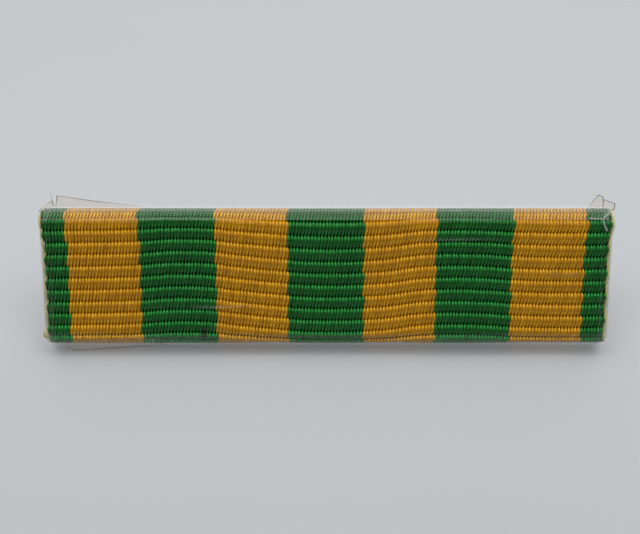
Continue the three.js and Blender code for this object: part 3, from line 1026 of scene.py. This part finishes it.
def film_sleeve(film):
    """The film's body: one layer round the bar, lapped on the back."""
    thickness, gap = film.thickness, film.lap_gap
    tucked = FILM_BACK - thickness - gap
    step_start, step_end = (film.lap_top + rise for rise in LAP_STEP)
    upper = [(tucked, -film.lap_bottom), (tucked, step_start), (FILM_BACK, step_end)]
    line = wrapped_line(
        FILM_LOW.y, FILM_BACK, FILM_HALF_HEIGHT, film.radius, upper, [(FILM_BACK, film.lap_top)]
    )
    line = evened(line, SLEEVE_STEP)
    normals = outward(line)
    run = np.concatenate([[0.0], np.cumsum(np.linalg.norm(np.diff(line, axis=0), axis=1))])
    reach = FILM_LENGTH / 2 - film.end_radius * CAP_LAP
    places = np.linspace(-reach, reach, SLEEVE_ROWS)
    outer = np.zeros((len(places), len(line), 3))
    outer[:, :, 0] = places[:, None]
    front = rising(-line[:, 0], *WAVE_RANGE)
    stand = ripple(places[:, None], run[None, :]) * front[None, :]
    outer[:, :, 1] = line[None, :, 0] + stand * normals[None, :, 0]
    outer[:, :, 2] = line[None, :, 1] + stand * normals[None, :, 1]
    inner = outer.copy()
    inner[:, :, 1] -= normals[None, :, 0] * thickness
    inner[:, :, 2] -= normals[None, :, 1] * thickness
    upright = normals[:, 1]
    # Painted sheen: whiter where the film rounds over the long edges, most along the top crest.
    haze = rising(np.abs(upright), *SLANT_RANGE) * np.where(upright > 0, UPPER_SHEEN, LOWER_SHEEN)
    haze += CREST_SHEEN * rising(upright, *CREST_RANGE)
    return outer, inner, np.repeat(haze[None, :], len(places), axis=0)


def film_cap(film, side):
    """The film folded in over one end, as rings from its skirt to the slot left in the end wall."""
    radius, turn = film.radius, film.end_radius
    inset = film.thickness + CAP_GAP
    end = FILM_LENGTH / 2
    rings = [(end - turn - CAP_SKIRT, inset), (end - turn, inset)]
    for angle in np.radians(np.linspace(15, 90, 6)):
        rings.append((end - turn * (1 - math.sin(angle)), inset + turn * (1 - math.cos(angle))))
    rings += [(end - CAP_DISH / 2, CAP_BEND), (end - CAP_DISH, radius - CAP_SLOT)]
    rings = np.array(rings)
    along = np.gradient(rings, axis=0)
    along /= np.linalg.norm(along, axis=1)[:, None]
    inward = np.column_stack([-along[:, 1], along[:, 0]])

    def shell(lines):
        grid = []
        for x, depth in lines:
            small = max(radius - depth, 0.02 * MM)
            ring = []
            for y_side, z_side, start in ((1, 1, 0), (-1, 1, 90), (-1, -1, 180), (1, -1, 270)):
                y0 = FILM_MIDDLE + y_side * ((FILM_BACK - FILM_LOW.y) / 2 - radius)
                z0 = z_side * (FILM_HALF_HEIGHT - radius)
                angles = np.radians(np.linspace(start, start + 90, 9))
                ring += [(side * x, y0 + small * math.cos(a), z0 + small * math.sin(a)) for a in angles]
            grid.append(ring[::side])
        return np.array(grid)

    return shell(rings), shell(rings + inward * film.thickness)


def film_leaf(outline, side):
    """A stray bit of film upright at the top edge or the bottom one: a thin rim of painted shade and a
    clear middle.
    """
    outline = np.array(outline) * MM
    middle = outline.mean(axis=0)
    reach = np.linalg.norm(outline - middle, axis=1)[:, None]
    inner = middle + (outline - middle) * np.maximum(0.1, 1 - LEAF_RIM / reach)
    free = (outline[:, 1] * side > LEAF_SEAT) | (np.abs(outline[:, 0]) > LEAF_OVERHANG)
    vertices, rim = [], []
    half = LEAF_THICKNESS / 2
    for y, ring, mark in ((-half, inner, 0), (-half, outline, 1), (half, outline, 1), (half, inner, 0)):
        vertices += [(x, FILM_MIDDLE + y, side * FILM_HALF_HEIGHT + z) for x, z in ring]
        rim += [mark * float(f) for f in free]
    count = len(outline)
    faces = []
    for ring in range(3):
        for j in range(count):
            k = (j + 1) % count
            a, b = ring * count, (ring + 1) * count
            faces.append((a + j, b + j, b + k, a + k))
    faces.append(tuple(range(count)))
    faces.append(tuple(3 * count + j for j in reversed(range(count))))
    return np.array(vertices), faces, rim


def crease_glint(tree, where):
    """Painted glint: whitening along the forked crease at one upper corner of the film's front."""
    nearest = 1.0
    for start, end in CREASE:
        start, end = (Vector((x, 0.0, z)) * MM for x, z in (start, end))
        run = end - start
        offset = tree.vector("SUBTRACT", tree.vector("MULTIPLY", where, (1.0, 0.0, 1.0)), tuple(start))
        part = tree.vector("DOT_PRODUCT", offset, tuple(run / run.length_squared), out="Value")
        part = tree.math("MINIMUM", tree.math("MAXIMUM", part, 0.0), 1.0)
        foot = tree.vector("MULTIPLY", tuple(run), tree.join(part, part, part))
        gap = tree.vector("LENGTH", tree.vector("SUBTRACT", offset, foot), out="Value")
        nearest = tree.math("MINIMUM", gap, nearest)
    front = tree.vector("DOT_PRODUCT", where, (0.0, 1.0, 0.0), out="Value")
    front = tree.math("LESS_THAN", front, CREASE_BEFORE)
    white = tree.ramp(nearest, CREASE_CORE, CREASE_REACH, CREASE_GLINT, 0.0)
    return tree.math("MULTIPLY", white, front)


def film_material(film):
    """Clear glossy film: see-through head on, shiny at a slant, with painted sheen over its long folds,
    whitened on its end folds and stray corners, finely scratched.
    """
    tree = Tree.shader("clear_film")
    fold = tree.attribute("haze")
    rim = tree.attribute("rim")
    where = tree.object_place()
    drawn = tree.add("ShaderNodeMapping", {"Vector": where, "Scale": SCRATCH_SCALE})
    drawn.inputs["Rotation"].default_value = (0.0, SCRATCH_TURN, 0.0)
    scratch = tree.ramp(tree.noise(drawn.outputs[0], 1.0, 4.0), *SCRATCH_RANGE, 0.0, SCRATCH_HAZE)
    # The film's even haze, plus its painted sheen along the long folds and its whitening elsewhere.
    dull = tree.math("MULTIPLY_ADD", fold, film.fold_sheen_and_haze, film.haze)
    for more in (scratch, crease_glint(tree, where), tree.math("MULTIPLY", rim, RIM_SHADE)):
        dull = tree.math("ADD", dull, more)
    clear = tree.add("ShaderNodeBsdfTransparent")
    tree.feed(clear.inputs["Color"], tree.mix(rim, (1, 1, 1, 1), rgba(film.rim_tint)))
    shine = tree.add("ShaderNodeBsdfGlossy", {"Color": (1, 1, 1, 1), "Roughness": film.roughness})
    edge = tree.add("ShaderNodeFresnel", {"IOR": film.refraction}).outputs[0]
    inside = tree.add("ShaderNodeNewGeometry").outputs["Backfacing"]
    edge = tree.math("MULTIPLY", edge, tree.math("SUBTRACT", 1.0, inside))
    glass = tree.add("ShaderNodeMixShader", {0: edge, 1: clear.outputs[0], 2: shine.outputs[0]})
    body = tree.mix(tree.ramp(fold, *LEAF_RANGE), rgba(film.chalk), rgba(film.aged))
    # Along the leaves' rims the matt film turns dark: painted shade.
    chalk = tree.add("ShaderNodeBsdfDiffuse", {"Color": tree.mix(rim, body, rgba(film.rim))})
    whole = tree.add("ShaderNodeMixShader", {0: dull, 1: glass.outputs[0], 2: chalk.outputs[0]})
    return tree.surface(whole)


class RIBBONBAR_OT_film(bpy.types.Operator):
    """Sleeves the wrapped bar in clear film, with folded ends and stray corners"""

    bl_idname = "ribbonbar.film"
    bl_label = "Clear film"

    def execute(self, context):
        film = context.scene.bar_film
        vertices, faces, haze, rim = [], [], [], []

        def keep(points, new_faces, new_haze, new_rim):
            start = len(vertices)
            vertices.extend(points)
            faces.extend([start + i for i in face] for face in new_faces)
            haze.extend(new_haze)
            rim.extend(new_rim)

        outer, inner, fold = film_sleeve(film)
        points, made = slab(outer, inner)
        keep(points, made, [*fold.ravel(), *fold.ravel()], [0.0] * len(points))
        for side in (-1, 1):
            points, made = slab(*film_cap(film, side), closed=True)
            wall = rising(np.abs(points[:, 0]) - FILM_LENGTH / 2, *WALL_RANGE)
            keep(points, made, wall * WALL_HAZE, [0.0] * len(points))
        for leaves, side in ((TOP_LEAVES, 1), (BOTTOM_LEAVES, -1)):
            for outline in leaves:
                points, made, edge = film_leaf(outline, side)
                keep(points, made, [LEAF_HAZE] * len(points), edge)

        sleeve = mesh_object("clear_film_sleeve", vertices, faces)
        for name, values in (("haze", haze), ("rim", rim)):
            attribute = sleeve.data.attributes.new(name, "FLOAT", "POINT")
            attribute.data.foreach_set("value", [float(v) for v in values])
        sleeve.data.materials.append(film_material(film))
        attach(sleeve, "bar")
        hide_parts("clear_film")
        return {"FINISHED"}


# ---------------------------------------------------------------- fittings


def metal_material(name, base, roughness, grain, stretch=(1.0, 1.0, 1.0)):
    """Metal with a fine uneven grain and faint handling marks."""
    tree = Tree.shader(name)
    where = tree.object_place()
    drawn = tree.add("ShaderNodeMapping", {"Vector": where, "Scale": stretch}).outputs[0]
    fine = tree.noise(drawn, grain, 5.0)
    broad = tree.noise(where, grain * 0.12, 3.0)
    surface = tree.add(
        "ShaderNodeBsdfPrincipled",
        {
            "Base Color": tree.mix(broad, rgba(base, 0.82), rgba(base, 1.12)),
            "Metallic": 1.0,
            "Roughness": tree.ramp(fine, 0.25, 0.8, roughness * 0.75, roughness * 1.4),
            "Normal": tree.bump(fine, 0.12, 0.02),
        },
    )
    return tree.surface(surface)


def soft_material(name, base, grain, roughness, relief):
    """Matt tape or foam with a small open texture."""
    tree = Tree.shader(name)
    where = tree.object_place()
    cells = tree.add("ShaderNodeTexVoronoi", {"Vector": where, "Scale": grain}).outputs["Distance"]
    cloud = tree.noise(where, grain * 0.3, 3.0)
    body = tree.mix(tree.ramp(cells, 0.0, 0.6), rgba(base, 0.7), rgba(base))
    body = tree.mix(tree.math("MULTIPLY", cloud, 0.25), body, rgba(base, 0.8))
    surface = tree.add(
        "ShaderNodeBsdfPrincipled",
        {
            "Base Color": body,
            "Roughness": roughness,
            "Specular IOR Level": 0.25,
            "Normal": tree.bump(cells, relief, 0.03),
        },
    )
    return tree.surface(surface)


def paint(nodes, material):
    """Gives the named nodes of the frame one finish."""
    for name in nodes:
        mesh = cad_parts[name].data
        mesh.materials.clear()
        mesh.materials.append(material)


class RIBBONBAR_OT_fittings(bpy.types.Operator):
    """Finishes the plate, hinge, wire and catch of the pin back"""

    bl_idname = "ribbonbar.fittings"
    bl_label = "Pin back"

    def execute(self, context):
        finish = context.scene.bar_fittings
        plating = metal_material("plated_steel", finish.plating, 0.27, 2600.0, (0.3, 1.0, 1.0))
        wire = metal_material("needle_steel", finish.wire, 0.16, 4200.0, (0.06, 1.0, 1.0))
        paint(("pin_plate", "hinge_bracket", "hinge_rivet", "catch_housing", "catch_drum"), plating)
        paint(("pin_needle",), wire)
        return {"FINISHED"}


class RIBBONBAR_OT_inner(bpy.types.Operator):
    """Finishes the bar inside the ribbon, its tapes and the foam pad"""

    bl_idname = "ribbonbar.inner"
    bl_label = "Bar, tapes and pad"

    def execute(self, context):
        finish = context.scene.bar_fittings
        metal = metal_material("bar_metal", finish.aluminium, 0.38, 2200.0, (0.05, 1.0, 1.0))
        tape = soft_material("adhesive_tape", finish.tape, 3600.0, 0.55, 0.2)
        foam = soft_material("foam_pad", finish.foam, 5200.0, 0.9, 0.6)
        paint(("core_bar",), metal)
        paint(("tail_tape_upper", "tail_tape_lower"), tape)
        paint(("pin_pad",), foam)
        return {"FINISHED"}


# ---------------------------------------------------------------- stage


def lamp(name, place, target, size, radiance, shines):
    """A soft rectangular lamp that faces target, with its places and sides in millimetres."""
    width, height = (side * MM for side in size)
    light = bpy.data.lights.new(name, "AREA")
    light.shape = "RECTANGLE"
    light.size, light.size_y = width, height
    light.energy = radiance * math.pi * width * height
    made = bpy.data.objects.new(name, light)
    made.location = Vector(place) * MM
    made.rotation_euler = (Vector(target) - Vector(place)).to_track_quat("-Z", "Y").to_euler()
    made.visible_camera = False
    made.visible_glossy = shines
    bpy.context.scene.collection.objects.link(made)


def board_material(tone):
    """Pale matt board, seen from its front only, glowing a little as painted light and painted darker
    towards the front.
    """
    tree = Tree.shader("stage_board")
    where = tree.object_place()
    cloud = tree.noise(where, 30.0, 4.0)
    near, far, darkest = BOARD_PAINTED_SHADE
    # Painted shade: the board darkens towards its lower front.
    rise = tree.ramp(tree.split(where)[1], near, far, darkest, 1.0)
    body = tree.mix(tree.ramp(cloud, 0.3, 0.7), rgba(tone, 0.985), rgba(tone))
    body = tree.mix(1.0, body, tree.join(rise, rise, rise), "MULTIPLY")
    face = tree.add(
        "ShaderNodeBsdfPrincipled",
        {
            "Base Color": body,
            "Roughness": 0.6,
            "Specular IOR Level": 0.2,
            # The glow is painted light that lifts the shade under the bar.
            "Emission Color": body,
            "Emission Strength": 0.3,
        },
    )
    clear = tree.add("ShaderNodeBsdfTransparent")
    behind = tree.add("ShaderNodeNewGeometry").outputs["Backfacing"]
    whole = tree.add("ShaderNodeMixShader", {0: behind, 1: face.outputs[0], 2: clear.outputs[0]})
    return tree.surface(whole)


def surroundings(ambient):
    """Pale to look at, dim to be lit by."""
    world = bpy.data.worlds.new("stage_world")
    world.use_nodes = True
    world.node_tree.nodes.clear()
    tree = Tree(world.node_tree)
    seen = tree.add("ShaderNodeLightPath").outputs["Is Camera Ray"]
    pale = tree.add("ShaderNodeBackground", {"Color": (0.6, 0.62, 0.64, 1.0), "Strength": 1.0})
    dim = tree.add("ShaderNodeBackground", {"Color": (1.0, 1.0, 1.0, 1.0), "Strength": ambient})
    both = tree.add("ShaderNodeMixShader", {0: seen, 1: dim.outputs[0], 2: pale.outputs[0]})
    output = tree.add("ShaderNodeOutputWorld")
    tree.feed(output.inputs["Surface"], both.outputs[0])
    return world


class RIBBONBAR_OT_stage(bpy.types.Operator):
    """Sets the pale board, the lamps and the camera"""

    bl_idname = "ribbonbar.stage"
    bl_label = "Stage"

    def execute(self, context):
        stage, scene = context.scene.bar_stage, context.scene
        foot = Vector((0.0, BOARD_SETBACK, FILM_LOW.z - BOARD_CLEARANCE))
        across = Vector((BOARD_REACH, 0.0, 0.0))
        up = Vector((0.0, math.sin(stage.lean), math.cos(stage.lean))) * BOARD_REACH
        corners = (foot - across - up, foot + across - up, foot + across + up, foot - across + up)
        board = mesh_object("stage_board", corners, [(0, 1, 2, 3)])
        board.data.materials.append(board_material(stage.board))
        board.visible_shadow = False

        for name, place, target, size, setting, shines in LAMPS:
            lamp(name, place, target, size, getattr(stage, setting), shines)
        scene.world = surroundings(stage.ambient)
        scene.view_settings.view_transform = "Standard"

        camera = bpy.data.cameras.new("camera")
        camera.lens = stage.lens
        camera.sensor_width = SENSOR_WIDTH
        camera.clip_start = 1 * MM
        made = bpy.data.objects.new("camera", camera)
        look = Vector((0.0, math.cos(stage.elevation), -math.sin(stage.elevation)))
        made.location = CAMERA_TARGET - look * stage.reach
        made.rotation_euler = look.to_track_quat("-Z", "Y").to_euler()
        scene.collection.objects.link(made)
        scene.camera = made
        return {"FINISHED"}


# ---------------------------------------------------------------- panel and registration


class RIBBONBAR_PT_panel(bpy.types.Panel):
    """Lists the settings and the steps"""

    bl_idname = "RIBBONBAR_PT_panel"
    bl_label = "Ribbon bar"
    bl_space_type = "VIEW_3D"
    bl_region_type = "UI"
    bl_category = "Ribbon bar"

    def draw(self, context):
        for name in SETTINGS:
            column = self.layout.box().column()
            values = getattr(context.scene, name)
            for setting in values.__annotations__:
                column.prop(values, setting)
        for operator in OPERATORS:
            self.layout.operator(operator.bl_idname)


OPERATORS = (
    RIBBONBAR_OT_stage,
    RIBBONBAR_OT_ribbon,
    RIBBONBAR_OT_film,
    RIBBONBAR_OT_fittings,
    RIBBONBAR_OT_inner,
)
CLASSES = (*SETTINGS.values(), *OPERATORS, RIBBONBAR_PT_panel)


def register():
    for made in CLASSES:
        bpy.utils.register_class(made)
    for name, kind in SETTINGS.items():
        setattr(bpy.types.Scene, name, PointerProperty(type=kind))


def unregister():
    for name in SETTINGS:
        delattr(bpy.types.Scene, name)
    for made in reversed(CLASSES):
        bpy.utils.unregister_class(made)


def main():
    register()
    bpy.ops.ribbonbar.stage()
    bpy.ops.ribbonbar.ribbon()
    bpy.ops.ribbonbar.film()
    bpy.ops.ribbonbar.fittings()
    bpy.ops.ribbonbar.inner()


if __name__ == "__main__":
    main()
